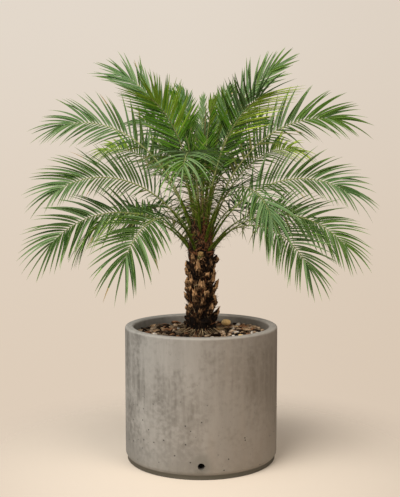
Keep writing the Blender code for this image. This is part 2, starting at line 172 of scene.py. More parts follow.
# Single fronds, by ring and azimuth, whose leaflets hang, open or fade in their own way.
OWN_WAYS = {
    ("low", 148): {"sag": 0.36, "leaflet": 1.12, "wispy": 0.3, "patch": ("lime", 1, 0.22, 0.80)},
    ("low", 195): {"tip_spread": 42, "closing": 1.4, "reach": 1.12},
    ("low", 240): {"tip_spread": 46, "closing": 1.6, "pairs": 36, "reach": 1.28},
    ("low", 310): {"tip_spread": 40, "closing": 1.4, "slim": 0.80},
    ("low", 345): {"slim": 0.82},
    ("middle", 200): {"wispy": 0.22, "under": 0.64},
    ("middle", 297): {"slim": 0.78, "wispy": 0.30},
    ("middle", 350): {"slim": 0.90, "wispy": 0.24},
    ("upper", 10): {"slim": 1.04, "wispy": 0.55, "reach": 1.08},
    ("upper", 166): {"wispy": 0.38, "under": 0.86, "slim": 0.88, "shaded": 0.3, "end_from": 0.46},
    ("upper", 263): {
        "sag": 0.30, "tip_spread": 62, "closing": 1.7, "pairs": 37, "slim": 0.74, "end_from": 0.50,
    },
    ("top", 66): {"leaflet": 0.62},
    ("top", 107): {"leaflet": 0.60},
    ("top", 148): {"leaflet": 0.72, "reach": 1.6, "tip_spread": 24},
    ("top", 235): {
        "leaflet": 0.98, "reach": 1.25, "closing": 1.9, "tip_spread": 30, "slim": 0.80,
        "wispy": 0.22, "end_from": 0.88, "patch": ("yellow_green", 1, 0.52, 0.90),
    },
    ("top", 312): {
        "leaflet": 0.98, "reach": 1.35, "under": 0.68, "slim": 0.78, "sag": 0.10, "tip_spread": 46,
        "pairs": 37, "end_from": 0.74, "patch": ("golden", 1, 0.58, 0.97),
    },
    ("young", 87): {"leaflet": 0.42, "slim": 0.60},
    ("young", 286): {"leaflet": 0.64},
    ("young", 340): {"leaflet": 0.56},
}

# Finer sizes that only show here

PETIOLE_RADIUS = 0.0068
RIB_RADIUS = 0.0025
RIB_TIP_RADIUS = 0.0009
RIB_POINTS = 25
ROLLED_FROM = 0.4  # share of the rib from where the blade is rolled in full

LEAFLET_WIDTH = 0.0093
LEAFLET_FOLD = math.radians(24)
MIDRIB_WIDTH = 0.0006
SPINES_A_SIDE = 8
SPINE_WIDTH = 0.0018
HAIRS_A_SIDE = 12
HAIR_WIDTH = 0.0009
SPINE_FOLD = math.radians(35)

# No leaflet stands in front of the spear here
BARE_SPEAR_X = 0.012
BARE_SPEAR_MARGIN = 0.009
BARE_SPEAR_FROM = 1.07

BOOT_COUNT = 58
BOOT_WIDTH = 0.031
BOOT_THICKNESS = 0.018
BOOT_LENGTH = 0.038
BOOT_LEAN = math.radians(25)
STRAND_FOLD = math.radians(12)

SOIL_RADIUS = 0.2215
MULCH_INNER_RADIUS = 0.040
MULCH_OUTER_RADIUS = 0.214
CHIPS = 1150
PEBBLES = 160

POT_FLOOR = 0.033
FLOOR_RADIUS = 6.0
FLOOR_FADE = (0.28, 0.98)

# Tints of the leaflets, spines and hairs

TINTS = {
    "deep": (0.030, 0.070, 0.006),
    "mid": (0.056, 0.122, 0.010),
    "bluish": (0.066, 0.136, 0.042),
    "sage": (0.120, 0.196, 0.078),
    # shade is painted shade, for leaflets near the petiole and the feet of leaflets in the crown's middle
    "shade": (0.016, 0.052, 0.002),
    "fresh": (0.068, 0.196, 0.003),
    # yellow_green, lime and golden are yellowing leaflets, painted brighter to look lit through from
    # behind
    "yellow_green": (0.200, 0.340, 0.018),
    "lime": (0.240, 0.360, 0.034),
    "golden": (0.560, 0.740, 0.090),
    "straw": (0.300, 0.220, 0.095),
    "brown": (0.078, 0.050, 0.020),
    "olive": (0.120, 0.128, 0.030),
    "midrib": (0.230, 0.300, 0.110),
}

# For each tint the one that some leaflets take in its place, mostly a darker one as painted shade near the
# petiole, and that of fresher tips
RELATED_TINTS = {
    "shade": ("deep", "fresh"),
    "deep": ("shade", "mid"),
    "mid": ("bluish", "fresh"),
    "bluish": ("deep", "mid"),
    "sage": ("mid", "bluish"),
    "fresh": ("shade", "yellow_green"),
    "yellow_green": ("fresh", "lime"),
    "lime": ("yellow_green", "lime"),
    "golden": ("lime", "golden"),
}

# Chance is seeded, so every run gives the same part
RANDOM = random.Random(7)
uniform = RANDOM.uniform
gauss = RANDOM.gauss
noise.seed_set(7)
UP = Vector((0, 0, 1))


# Node helpers and shared effects


def put(tree, kind, inputs=None, **settings):
    """Adds a shader node with its settings, and gives each input a value or a link."""
    node = tree.nodes.new("ShaderNode" + kind)
    for name, value in settings.items():
        setattr(node, name, value)
    for name, value in (inputs or {}).items():
        if isinstance(value, bpy.types.NodeSocket):
            tree.links.new(value, node.inputs[name])
        else:
            node.inputs[name].default_value = value
    return node


def colour(red, green, blue):
    return (red, green, blue, 1.0)


def blend(tree, share, first, second):
    """Mixes two colours by a share, and returns the result's socket."""
    return put(tree, "Mix", {0: share, 6: first, 7: second}, data_type="RGBA").outputs[2]


def ranged(tree, value, low, high, to_low=0.0, to_high=1.0):
    """Maps one range of values smoothly to another."""
    inputs = {"Value": value, "From Min": low, "From Max": high, "To Min": to_low, "To Max": to_high}
    return put(tree, "MapRange", inputs, interpolation_type="SMOOTHSTEP").outputs["Result"]


def sums(tree, operation, first, second):
    return put(tree, "Math", {0: first, 1: second}, operation=operation).outputs[0]


def swing(tree, value, size):
    """How far a value is from one half, times a size."""
    return sums(tree, "MULTIPLY", sums(tree, "SUBTRACT", value, 0.5), size)


def vectors(tree, operation, *values):
    return put(tree, "VectorMath", dict(enumerate(values)), operation=operation).outputs


def place(tree):
    return put(tree, "TexCoord").outputs["Object"]


FLOAT = "NodeSocketFloat"
COLOUR = "NodeSocketColor"


def new_group(name, inputs, outputs):
    """An empty shader group with named sockets. Inputs are (name, kind, default)."""
    group = bpy.data.node_groups.new(name, "ShaderNodeTree")
    for label, kind, default in inputs:
        socket = group.interface.new_socket(label, in_out="INPUT", socket_type=kind)
        socket.default_value = default
    for label, kind in outputs:
        group.interface.new_socket(label, in_out="OUTPUT", socket_type=kind)
    start = group.nodes.new("NodeGroupInput")
    end = group.nodes.new("NodeGroupOutput")
    return group, start.outputs, end.inputs


def make_mottle():
    """Cloudy patches between two colours, with finer specks laid over them."""
    inputs = [
        ("Light", COLOUR, colour(0.4, 0.4, 0.4)),
        ("Dark", COLOUR, colour(0.2, 0.2, 0.2)),
        ("Scale", FLOAT, 10.0),
        ("Specks", FLOAT, 0.2),
    ]
    group, given, result = new_group("Mottle", inputs, [("Colour", COLOUR), ("Mask", FLOAT)])
    where = place(group)
    clouds = put(group, "TexNoise", {"Vector": where, "Scale": given["Scale"], "Detail": 5.0})
    fine_scale = sums(group, "MULTIPLY", given["Scale"], 14.0)
    fine = put(group, "TexNoise", {"Vector": where, "Scale": fine_scale, "Detail": 3.0})
    total = sums(group, "ADD", clouds.outputs["Fac"], swing(group, fine.outputs["Fac"], given["Specks"]))
    mask = ranged(group, total, 0.34, 0.66)
    group.links.new(blend(group, mask, given["Dark"], given["Light"]), result["Colour"])
    group.links.new(mask, result["Mask"])
    return group


def make_fibre():
    """Long fibres that run up and down, as a mask and a height."""
    inputs = [("Scale", FLOAT, 200.0), ("Length", FLOAT, 12.0)]
    group, given, result = new_group("Upright fibre", inputs, [("Mask", FLOAT), ("Height", FLOAT)])
    drawn_out = sums(group, "DIVIDE", 1.0, given["Length"])
    stretch = put(group, "CombineXYZ", {"X": 1.0, "Y": 1.0, "Z": drawn_out}).outputs[0]
    where = vectors(group, "MULTIPLY", place(group), stretch)["Vector"]
    noise_inputs = {"Vector": where, "Scale": given["Scale"], "Detail": 4.0, "Roughness": 0.65}
    threads = put(group, "TexNoise", noise_inputs)
    mask = ranged(group, threads.outputs["Fac"], 0.36, 0.64)
    group.links.new(mask, result["Mask"])
    group.links.new(threads.outputs["Fac"], result["Height"])
    return group


def make_pits():
    """Small round pits scattered over a surface, as a mask."""
    inputs = [("Scale", FLOAT, 60.0), ("Size", FLOAT, 0.12), ("Share", FLOAT, 0.2)]
    group, given, result = new_group("Pinholes", inputs, [("Mask", FLOAT)])
    cells = put(group, "TexVoronoi", {"Vector": place(group), "Scale": given["Scale"]})
    inside = sums(group, "LESS_THAN", cells.outputs["Distance"], given["Size"])
    chance = put(group, "SeparateColor", {"Color": cells.outputs["Color"]})
    kept = sums(group, "LESS_THAN", chance.outputs["Red"], given["Share"])
    group.links.new(sums(group, "MULTIPLY", inside, kept), result["Mask"])
    return group


MOTTLE = make_mottle()
FIBRE = make_fibre()
PITS = make_pits()


def use(tree, group, inputs):
    """Adds a shared effect, and returns its outputs."""
    return put(tree, "Group", inputs, node_tree=group).outputs


def bump(tree, shader, height, distance, strength=1.0):
    node = put(tree, "Bump", {"Height": height, "Distance": distance, "Strength": strength})
    tree.links.new(node.outputs["Normal"], shader.inputs["Normal"])


# Materials


def new_material(name, roughness, specular=0.15):
    material = bpy.data.materials.new(name)
    material.use_nodes = True
    tree = material.node_tree
    shader = tree.nodes["Principled BSDF"]
    shader.inputs["Roughness"].default_value = roughness
    shader.inputs["Specular IOR Level"].default_value = specular
    return material, tree, shader


def leaf_material(name, tint):
    """Leathery leaf with a soft shine."""
    material, _, shader = new_material("leaf_" + name, 0.50, 0.16)
    shader.inputs["Base Color"].default_value = colour(*tint)
    return material


# Roughness, scale and length of fibre, and depth and strength of its relief
STEM = (0.45, 260.0, 9.0, 0.0008, 0.5)
STRAND = (0.9, 420.0, 5.0, 0.0012, 1.0)


def fibre_material(name, look, light, dark):
    """A stem or strand with lengthwise fibre in two tones."""
    roughness, scale, length, depth, strength = look
    material, tree, shader = new_material(name, roughness)
    fibre = use(tree, FIBRE, {"Scale": scale, "Length": length})
    tone = blend(tree, fibre["Mask"], colour(*dark), colour(*light))
    tree.links.new(tone, shader.inputs["Base Color"])
    bump(tree, shader, fibre["Height"], depth, strength)
    return material


# Roughness, shine, scale and specks of clouds, and depth of their relief
BARK = (0.9, 0.15, 55.0, 0.8, 0.0012)
PEBBLE = (0.62, 0.5, 70.0, 0.5, 0.0004)
SOIL = (0.95, 0.1, 60.0, 0.9, 0.004)


def cloud_material(name, look, light, dark):
    """Bark, stone or soil with clouds in two tones."""
    roughness, specular, scale, specks, depth = look
    material, tree, shader = new_material(name, roughness, specular)
    tones = {"Light": colour(*light), "Dark": colour(*dark)}
    cloud = use(tree, MOTTLE, {**tones, "Scale": scale, "Specks": specks})
    tree.links.new(cloud["Colour"], shader.inputs["Base Color"])
    bump(tree, shader, cloud["Mask"], depth)
    return material


def trunk_material():
    """Old leaf bases and fibre, coloured from painted light and shade: black gaps as painted shade, brown
    fibre and weathered tan faces painted lighter where light falls.
    """
    material, tree, shader = new_material("leaf_base_fibre", 0.92)
    # The attribute holds painted light and shade; fibre and clouds are added to it
    painted_shading_fac = put(tree, "Attribute", attribute_name="painted_shading").outputs["Fac"]
    fibre = use(tree, FIBRE, {"Scale": 360.0, "Length": 8.0})
    cloud = use(tree, MOTTLE, {"Scale": 34.0, "Specks": 0.5})
    shading_and_grain = sums(tree, "ADD", painted_shading_fac, swing(tree, fibre["Height"], 1.15))
    shading_and_grain = sums(tree, "ADD", shading_and_grain, swing(tree, cloud["Mask"], 0.22))
    ramp = put(tree, "ValToRGB", {"Fac": shading_and_grain})
    stops = ramp.color_ramp.elements
    stops[0].position = 0.08
    stops[0].color = colour(0.005, 0.003, 0.002)
    stops[1].position = 0.92
    stops[1].color = colour(0.72, 0.43, 0.21)
    stops.new(0.20).color = colour(0.026, 0.013, 0.006)
    stops.new(0.34).color = colour(0.105, 0.056, 0.026)
    stops.new(0.52).color = colour(0.310, 0.172, 0.080)
    tree.links.new(ramp.outputs["Color"], shader.inputs["Base Color"])
    bump(tree, shader, fibre["Height"], 0.003)
    return material


def concrete_material():
    """Cast concrete: clouds, soft upright streaks, a right side painted darker and warmer as shade,
    pinholes and a stained drain hole, with painted shade inside, in the pinholes and on the foot, and a
    painted highlight on the rim.
    """
    material, tree, shader = new_material("cast_concrete", 0.78, 0.5)
    where = place(tree)
    axes = put(tree, "SeparateXYZ", {"Vector": where}).outputs
    height = axes["Z"]
    level = vectors(tree, "MULTIPLY", where, (1.0, 1.0, 0.0))["Vector"]
    from_axis = vectors(tree, "LENGTH", level)["Value"]
    inner = POT_DIAMETER / 2 - RIM_WALL
    top = POT_HEIGHT
    hole = (0.0, -POT_DIAMETER / 2, DRAIN_HOLE_HEIGHT + 0.006)
    to_hole = vectors(tree, "DISTANCE", where, hole)["Value"]

    tones = {"Light": colour(0.318, 0.302, 0.276), "Dark": colour(0.158, 0.148, 0.131)}
    base = use(tree, MOTTLE, {**tones, "Scale": 5.0, "Specks": 0.6})
    runs = use(tree, FIBRE, {"Scale": 11.0, "Length": 3.0})
    streaks = use(tree, FIBRE, {"Scale": 30.0, "Length": 9.0})
    streak = sums(tree, "MULTIPLY", streaks["Mask"], ranged(tree, height, 0.08, 0.24, 0.22, 0.48))
    # Painted shade: the right side darker and warmer, away from the key light
    shade_right_side = sums(tree, "ADD", sums(tree, "MULTIPLY", streaks["Height"], 0.9), 0.45)
    shade_right_side = sums(tree, "MULTIPLY", ranged(tree, axes["X"], -0.26, 0.17, 0.0, 0.60), shade_right_side)
    pits = use(tree, PITS, {"Scale": 60.0, "Size": 0.14, "Share": 0.22})
    fine_pits = use(tree, PITS, {"Scale": 170.0, "Size": 0.13, "Share": 0.06})
    low_pits = sums(tree, "MULTIPLY", pits["Mask"], ranged(tree, height, 0.30, 0.16, 0.10, 1.0))
    holes = sums(tree, "MAXIMUM", low_pits, fine_pits["Mask"])

    layers = {
        "grey runs": (sums(tree, "MULTIPLY", runs["Mask"], 0.26), (0.130, 0.124, 0.108)),
        "pale streaks": (streak, (0.415, 0.398, 0.366)),
        "paler low down": (ranged(tree, height, 0.15, 0.05, 0.0, 0.40), (0.242, 0.238, 0.224)),
        "painted shade right side": (shade_right_side, (0.200, 0.146, 0.098)),
        # Painted shade on the inside of the wall, partly damp
        "inside": (ranged(tree, from_axis, inner + 0.0015, inner - 0.002), (0.105, 0.100, 0.082)),
        # Painted highlight along the top of the rim
        "rim": (ranged(tree, height, top - 0.008, top - 0.001, 0.0, 0.45), (0.46, 0.44, 0.40)),
        # Painted shadow on the foot that steps in
        "foot": (ranged(tree, height, FOOT_HEIGHT, FOOT_HEIGHT * 0.7), (0.040, 0.032, 0.018)),
        # Darker towards the bottom
        "darker_near_bottom": (ranged(tree, height, 0.060, 0.015, 0.0, 0.22), (0.16, 0.145, 0.115)),
        "stain round the hole": (ranged(tree, to_hole, 0.046, 0.012, 0.0, 0.55), (0.12, 0.110, 0.088)),
        # The pinholes painted near black: painted shade in the pits
        "pinholes": (sums(tree, "MULTIPLY", holes, 0.9), (0.025, 0.022, 0.018)),
    }
    tone = base["Colour"]
    for share, stain in layers.values():
        tone = blend(tree, share, tone, colour(*stain))
    tree.links.new(tone, shader.inputs["Base Color"])

    rough = ranged(tree, base["Mask"], 0.0, 1.0, 0.70, 0.86)
    tree.links.new(rough, shader.inputs["Roughness"])
    grit = put(tree, "TexNoise", {"Vector": where, "Scale": 320.0, "Detail": 3.0})
    relief = sums(tree, "SUBTRACT", sums(tree, "MULTIPLY", grit.outputs["Fac"], 0.25), holes)
    bump(tree, shader, relief, 0.0012)
    return material


# Meshes


def in_scene(name, data):
    obj = bpy.data.objects.new(name, data)
    bpy.context.scene.collection.objects.link(obj)
    return obj


def finish_piece(mesh, materials, nodes, smooth_angle=40):
    """Puts a finished mesh in the scene as one piece that stands for the named nodes."""
    obj = in_scene(mesh.name, mesh)
    for material in materials:
        mesh.materials.append(material)
    mesh.shade_smooth()
    if smooth_angle:
        mesh.set_sharp_from_angle(angle=math.radians(smooth_angle))
    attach(obj, "root")
    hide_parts(*nodes)
    return obj


def mesh_of(bm, name):
    bmesh.ops.recalc_face_normals(bm, faces=bm.faces)
    mesh = bpy.data.meshes.new(name)
    bm.to_mesh(mesh)
    bm.free()
    return mesh


def made_mesh(obj):
    """The mesh that an object's curve or modifiers make."""
    graph = bpy.context.evaluated_depsgraph_get()
    return bpy.data.meshes.new_from_object(obj.evaluated_get(graph))


class Pile:
    """Many small shapes gathered into one mesh, each face with the slot of its material."""

    def __init__(self, name):
        self.name = name
        self.points = []
        self.faces = []
        self.slots = []
        self.count = 0

    def add(self, points, faces, slots):
        """Adds a shape with one slot for all its faces or one for each."""
        self.points.append(points)
        self.faces.append(faces + self.count)
        self.slots.append(np.full(len(faces), slots))
        self.count += len(points)

    def mesh(self):
        mesh = bpy.data.meshes.new(self.name)
        mesh.from_pydata(np.concatenate(self.points).tolist(), [], np.concatenate(self.faces).tolist())
        mesh.polygons.foreach_set("material_index", np.concatenate(self.slots).astype(np.int32))
        mesh.update()
        return mesh


def template(bm):
    """The points and faces of a small closed shape, for repeating."""
    bm.verts.index_update()
    points = np.array([vert.co for vert in bm.verts])
    faces = np.array([[vert.index for vert in face.verts] for face in bm.faces])
    bm.free()
    return points, faces


# Blades: leaflets, spines and strips of fibre

BLADE_STEPS = np.array([0.0, 0.05, 0.13, 0.25, 0.40, 0.55, 0.70, 0.83, 0.93, 1.0])
LEAF_PROFILE = np.array([0.32, 0.66, 0.92, 1.00, 0.92, 0.77, 0.57, 0.35, 0.16, 0.02])
STRIP_PROFILE = np.array([0.70, 0.90, 1.00, 1.00, 0.95, 0.90, 0.80, 0.62, 0.38, 0.08])
SPINE_PROFILE = np.array([1.00, 0.95, 0.88, 0.78, 0.66, 0.54, 0.41, 0.27, 0.14, 0.03])


def strip_faces(rows):
    """Three strips of faces side by side: left half, midrib and right half."""
    faces = []
    for row in range(rows - 1):
        for column in range(3):
            near = 4 * row + column
            faces.append((near, near + 4, near + 5, near + 1))
    return np.array(faces)


BLADE_FACES = strip_faces(len(BLADE_STEPS))
IN_MIDRIB = np.arange(len(BLADE_FACES)) % 3 == 1
IN_FOOT = np.arange(len(BLADE_FACES)) // 3 < 4
IN_TIP = np.arange(len(BLADE_FACES)) // 3 >= len(BLADE_STEPS) - 4


def unit(rows):
    return rows / np.linalg.norm(rows, axis=-1, keepdims=True)


def blade_points(base, along, across, length, width, sag, profile, fold, twist=0.0, curl=0.0):
    """Rows of four points along a folded blade that droops under its weight and may twist."""
    steps = BLADE_STEPS[:, None]
    base = np.array(base)
    along = np.array(along)
    across = np.array(across)
    down = np.array((0.0, 0.0, -1.0))
    down = down - along * np.dot(down, along)
    side_bend = across * (curl * length)
    centre = base + along * (steps * length) + down * (sag * length * steps**2) + side_bend * steps**2
    tangent = unit(along + down * (2 * sag * steps) + across * (2 * curl * steps))
    level = unit(across - tangent * (tangent @ across)[:, None])
    up = np.cross(tangent, level)
    turn = twist * steps
    level, up = level * np.cos(turn) + up * np.sin(turn), up * np.cos(turn) - level * np.sin(turn)
    half = (profile * width / 2)[:, None]
    middle = np.minimum(half * 0.5, MIDRIB_WIDTH / 2)
    raised = up * (half * math.sin(fold))
    spread = level * (half * math.cos(fold))
    edges = centre + raised
    inner = level * middle
    rows = np.stack([edges - spread, centre - inner, centre + inner, edges + spread], axis=1)
    return rows.reshape(-1, 3)


# Fronds


def outward(azimuth):
    """The level direction away from the trunk at an azimuth."""
    return Vector((math.cos(azimuth), math.sin(azimuth), 0))


def sideways(out):
    return Vector((-out.y, out.x, 0))


class Frond:
    """A frond's rib and blade, by the same rule as its solid."""

    STEPS = 48

    def __init__(self, ring_name, row):
        azimuth, rise, droop, roll, self.length, self.tint, self.end_tint = row
        self.ways = {**COMMON_WAYS, **RINGS[ring_name]}
        if BACK_AZIMUTHS[0] < azimuth < BACK_AZIMUTHS[1]:
            self.ways.update(BACK_WAYS)
        self.ways.update(OWN_WAYS.get((ring_name, azimuth), {}))
        self.out = outward(math.radians(azimuth))
        self.across = sideways(self.out)
        self.rise = math.radians(rise)
        self.droop = math.radians(droop)
        self.roll = math.radians(roll)
        self.path = self.walk()

    def along(self, share):
        """The direction of the rib."""
        slope = self.rise - self.droop * share ** self.ways["bend"]
        return self.out * math.cos(slope) + UP * math.sin(slope)

    def walk(self):
        height = self.ways["height"]
        path = [self.out * (SUNK_SHARE * heart_radius(height)) + UP * height]
        for step in range(self.STEPS):
            ahead = self.along((step + 0.5) / self.STEPS) * (self.length / self.STEPS)
            path.append(path[-1] + ahead)
        return path

    def point(self, share):
        position = min(share, 1.0) * self.STEPS
        first = min(int(position), self.STEPS - 1)
        return self.path[first].lerp(self.path[first + 1], position - first)

    def rolled(self, share):
        """The blade rolls about its rib over its first part."""
        return self.roll * min(1.0, share / ROLLED_FROM)

    def axes(self, share):
        """Unit vectors along the rib, across the blade and out of its upper face."""
        along = self.along(share)
        roll = self.rolled(share)
        face = along.cross(self.across) * math.cos(roll) + self.across * math.sin(roll)
        return along, face.cross(along), face


def clamp(value):
    return min(1.0, max(0.0, value))


def heart_radius(height):
    share = clamp((height - TRUNK_TOP) / HEART_HEIGHT)
    return HEART_RADIUS + (HEART_TOP_RADIUS - HEART_RADIUS) * share**1.25


def rib_radius(share, length):
    petiole = PETIOLE_RADIUS * length / FULL_LENGTH
    if share < PETIOLE_SHARE:
        return petiole + (RIB_RADIUS - petiole) * (share / PETIOLE_SHARE) ** 0.9
    return RIB_RADIUS + (RIB_TIP_RADIUS - RIB_RADIUS) * (share - PETIOLE_SHARE) / (1 - PETIOLE_SHARE)


def leaflet_length(position):
    if position < 0.5:
        return LEAFLET_LENGTH * (0.60 + 0.40 * math.sin(math.pi * position))
    return LEAFLET_LENGTH * (1.0 - 0.15 * (2 * position - 1) ** 2)


def leaflet_slots(pairs):
    """Place along the blade, closer towards the tip, and side of each leaflet, 0 at the end."""
    yield 1.0, 0
    for pair in range(pairs):
        for side in (1, -1):
            yield ((pair + 0.5 + side * 0.12 + uniform(-0.12, 0.12)) / pairs) ** 0.88, side


def blade_frame(frond, share, side, lift, spread):
    """Direction of a leaflet and the direction across its blade."""
    rib_along, rib_across, rib_face = frond.axes(share)
    outward = rib_across * (side * math.cos(lift)) + rib_face * math.sin(lift)
    along = (rib_along * math.cos(spread) + outward * math.sin(spread)).normalized()
    return along, rib_face.cross(along).normalized()


def leaflet_tint(frond, position, side):
    blurred = position + uniform(-0.08, 0.08)
    tint = frond.tint
    if blurred > frond.ways["end_from"]:
        tint = frond.end_tint
    if frond.ways["patch"]:
        patch_tint, patch_side, start, end = frond.ways["patch"]
        if start < blurred < end and side == patch_side:
            tint = patch_tint
    # Sage flecks further out: random tone, and also painted sheen that lightens some leaflets
    if tint in ("deep", "mid", "bluish") and RANDOM.random() < 0.22 * blurred:
        return "sage"
    # Near the petiole more leaflets take the related, mostly darker tint: painted shade
    inside = max(0.0, 1.0 - blurred / 0.40)
    other = RANDOM.random() < 0.14 + frond.ways["shaded"] * inside
    return RELATED_TINTS[tint][0] if other else tint


def hides_spear(points):
    """Whether a leaflet would stand in front of the bare upper half of the spear."""
    beside = np.abs(points[:, 0] - BARE_SPEAR_X) < BARE_SPEAR_MARGIN
    high = points[:, 2] > BARE_SPEAR_FROM
    return bool(np.any(beside & high & (points[:, 1] < 0)))


def add_leaflets(frond, pile, tint_slots):
    ways = frond.ways
    scale = ways["leaflet"] * min(1.0, frond.length / FULL_LENGTH)
    opened = math.radians(ways["base_spread"])
    closed = math.radians(ways["tip_spread"])
    for position, side in leaflet_slots(ways["pairs"]):
        share = min(1.0, PETIOLE_SHARE + (1 - PETIOLE_SHARE) * position)
        spread = opened + (closed - opened) * position ** ways["closing"]
        spread *= 1.0 - 0.65 * max(0.0, position - 0.84) / 0.16 if side else 0.0
        curl = uniform(0.01, 0.09)
        arch = uniform(0.06, 0.26) * ways["arch"]
        underneath = frond.axes(share)[1].z * side < -0.35
        under = ways["under"] if underneath else 1.0
        wispy = max(0.0, 1.0 - position / (ways["wispy"] * (1.6 if underneath else 1.0)))
        loose = max(wispy, ways["loose"])
        spread += curl + math.radians(gauss(0, 2.6 + 18 * loose))
        lift = LEAFLET_LIFT + arch + math.radians(gauss(0, 5.0 + 22 * loose))
        along, across = blade_frame(frond, share, side, lift, spread)
        length = leaflet_length(position) * scale * under * uniform(0.94, 1.06)
        length *= 1.0 + (ways["reach"] - 1.0) * position**2
        width = LEAFLET_WIDTH * ways["slim"] * under * (1.0 - 0.62 * wispy) * uniform(0.85, 1.12)
        width *= 0.72 if side == 0 else 1.0
        sag = ways["sag"] * uniform(0.7, 1.25) + arch
        points = blade_points(
            frond.point(share), along, across, length * (1.0 - 0.55 * wispy), width, sag,
            LEAF_PROFILE, LEAFLET_FOLD, twist=gauss(0, 0.35 + 0.5 * wispy), curl=-side * curl,
        )
        if hides_spear(points):
            continue
        tint = leaflet_tint(frond, position, side)
        slots = np.full(len(BLADE_FACES), tint_slots[tint])
        if RANDOM.random() < 0.46:
            slots[IN_TIP] = tint_slots[RELATED_TINTS[tint][1]]
        # Painted shade on the feet of fresh leaflets near the petiole
        if tint in ("fresh", "shade") and RANDOM.random() < 1.1 - 1.2 * position:
            slots[IN_FOOT] = tint_slots["shade"]
        if tint == "golden":
            slots[IN_FOOT] = tint_slots["lime"]
        slots[IN_MIDRIB] = tint_slots["midrib"]
        if RANDOM.random() < 0.45 * wispy:
            slots[:] = tint_slots["olive"]
        if RANDOM.random() < 0.015:
            slots[IN_TIP] = tint_slots["straw"]
        pile.add(points, BLADE_FACES, slots)


def add_spines(frond, pile, tint_slots):
    """Spines and curly brown hairs along the petiole."""
    for number in range(SPINES_A_SIDE + HAIRS_A_SIDE):
        hair = number >= SPINES_A_SIDE
        tints = ("brown", "brown", "straw") if hair else ("mid", "straw", "yellow_green", "deep")
        for side in (1, -1):
            share = PETIOLE_SHARE * uniform(0.12, 1.0)
            spread = math.radians(uniform(30, 85))
            lift = math.radians(uniform(-30, 50))
            along, across = blade_frame(frond, share, side, lift, spread)
            length = uniform(0.020, 0.042) * (0.6 + share / PETIOLE_SHARE)
            width = HAIR_WIDTH if hair else SPINE_WIDTH
            sag = uniform(0.0, 0.6) if hair else uniform(-0.1, 0.3)
            points = blade_points(
                frond.point(share), along, across, length, width, sag, SPINE_PROFILE, SPINE_FOLD,
                curl=gauss(0, 0.35 if hair else 0.12),
            )
            pile.add(points, BLADE_FACES, tint_slots[RANDOM.choice(tints)])


def channel_profile():
    """The section of a petiole, rounded below with a shallow channel above, as a closed curve."""
    curve = bpy.data.curves.new("petiole_section", "CURVE")
    curve.dimensions = "2D"
    spline = curve.splines.new("POLY")
    corners = 10
    spline.points.add(corners - 1)
    for number, point in enumerate(spline.points):
        angle = math.tau * number / corners
        above = max(0.0, math.sin(angle))
        point.co = (1.12 * math.cos(angle), math.sin(angle) * (0.95 - 0.45 * above**3), 0.0, 1.0)
    spline.use_cyclic_u = True
    return in_scene("petiole_section", curve)


def rib_mesh(name, fronds, section):
    """Petioles and ribs of a ring of fronds, as one mesh of tapering tubes."""
    curve = bpy.data.curves.new(name, "CURVE")
    curve.dimensions = "3D"
    curve.twist_mode = "Z_UP"
    curve.bevel_mode = "OBJECT"
    curve.bevel_object = section
    curve.use_fill_caps = True
    for frond in fronds:
        spline = curve.splines.new("POLY")
        spline.points.add(RIB_POINTS - 1)
        for number, point in enumerate(spline.points):
            share = number / (RIB_POINTS - 1)
            point.co = (*frond.point(share), 1.0)
            point.radius = rib_radius(share, frond.length)
            point.tilt = -frond.rolled(share)
    guide = in_scene(name, curve)
    mesh = made_mesh(guide)
    mesh.name = name
    bpy.data.objects.remove(guide)
    bm = bmesh.new()
    bm.from_mesh(mesh)
    bmesh.ops.remove_doubles(bm, verts=bm.verts, dist=0.00001)
    bmesh.ops.recalc_face_normals(bm, faces=bm.faces)
    bm.to_mesh(mesh)
    bm.free()
    mesh.materials.clear()
    return mesh


def is_pale_rib(ring_name, centre):
    """The rib turns from green to straw past the petiole, which ends sooner on the flat fronds."""
    base = Vector((0, 0, RINGS[ring_name]["height"]))
    return (centre - base).length > PETIOLE_SHARE * FULL_LENGTH * 1.15


def make_fronds():
    leaf_materials = [leaf_material(name, tint) for name, tint in TINTS.items()]
    tint_slots = {name: number for number, name in enumerate(TINTS)}
    stems = [
        fibre_material("petiole_green", STEM, (0.090, 0.130, 0.007), (0.026, 0.046, 0.002)),
        fibre_material("pale_rib", STEM, (0.300, 0.310, 0.120), (0.130, 0.160, 0.045)),
    ]
    section = channel_profile()
    for ring_name, rows in FRONDS.items():
        fronds = [Frond(ring_name, row) for row in rows]
        nodes = [f"frond_{ring_name}_{number}" for number in range(1, len(rows) + 1)]
        ribs = rib_mesh("ribs_" + ring_name, fronds, section)
        finish_piece(ribs, stems, nodes, smooth_angle=50)
        for face in ribs.polygons:
            face.material_index = int(is_pale_rib(ring_name, face.center))
        pile = Pile("leaflets_" + ring_name)
        for frond in fronds:
            add_leaflets(frond, pile, tint_slots)
            add_spines(frond, pile, tint_slots)
        finish_piece(pile.mesh(), leaf_materials, nodes, smooth_angle=14)
    bpy.data.objects.remove(section)


# Trunk


def jitter(point, size, spread):
    """A smooth random shift of a point."""
    return noise.noise_vector(point * (1.0 / size)) * spread


def box_template(cuts):
    """The points and faces of a unit box, each side cut into a grid."""
    bm = bmesh.new()
    bmesh.ops.create_cube(bm, size=1.0)
    bmesh.ops.subdivide_edges(bm, edges=bm.edges, cuts=cuts, use_grid_fill=True)
    return template(bm)


def trunk_radius(share):
    """The trunk narrows a little from its foot to its top."""
    return TRUNK_RADIUS * (TRUNK_SWELL + (1 - TRUNK_SWELL) * share)


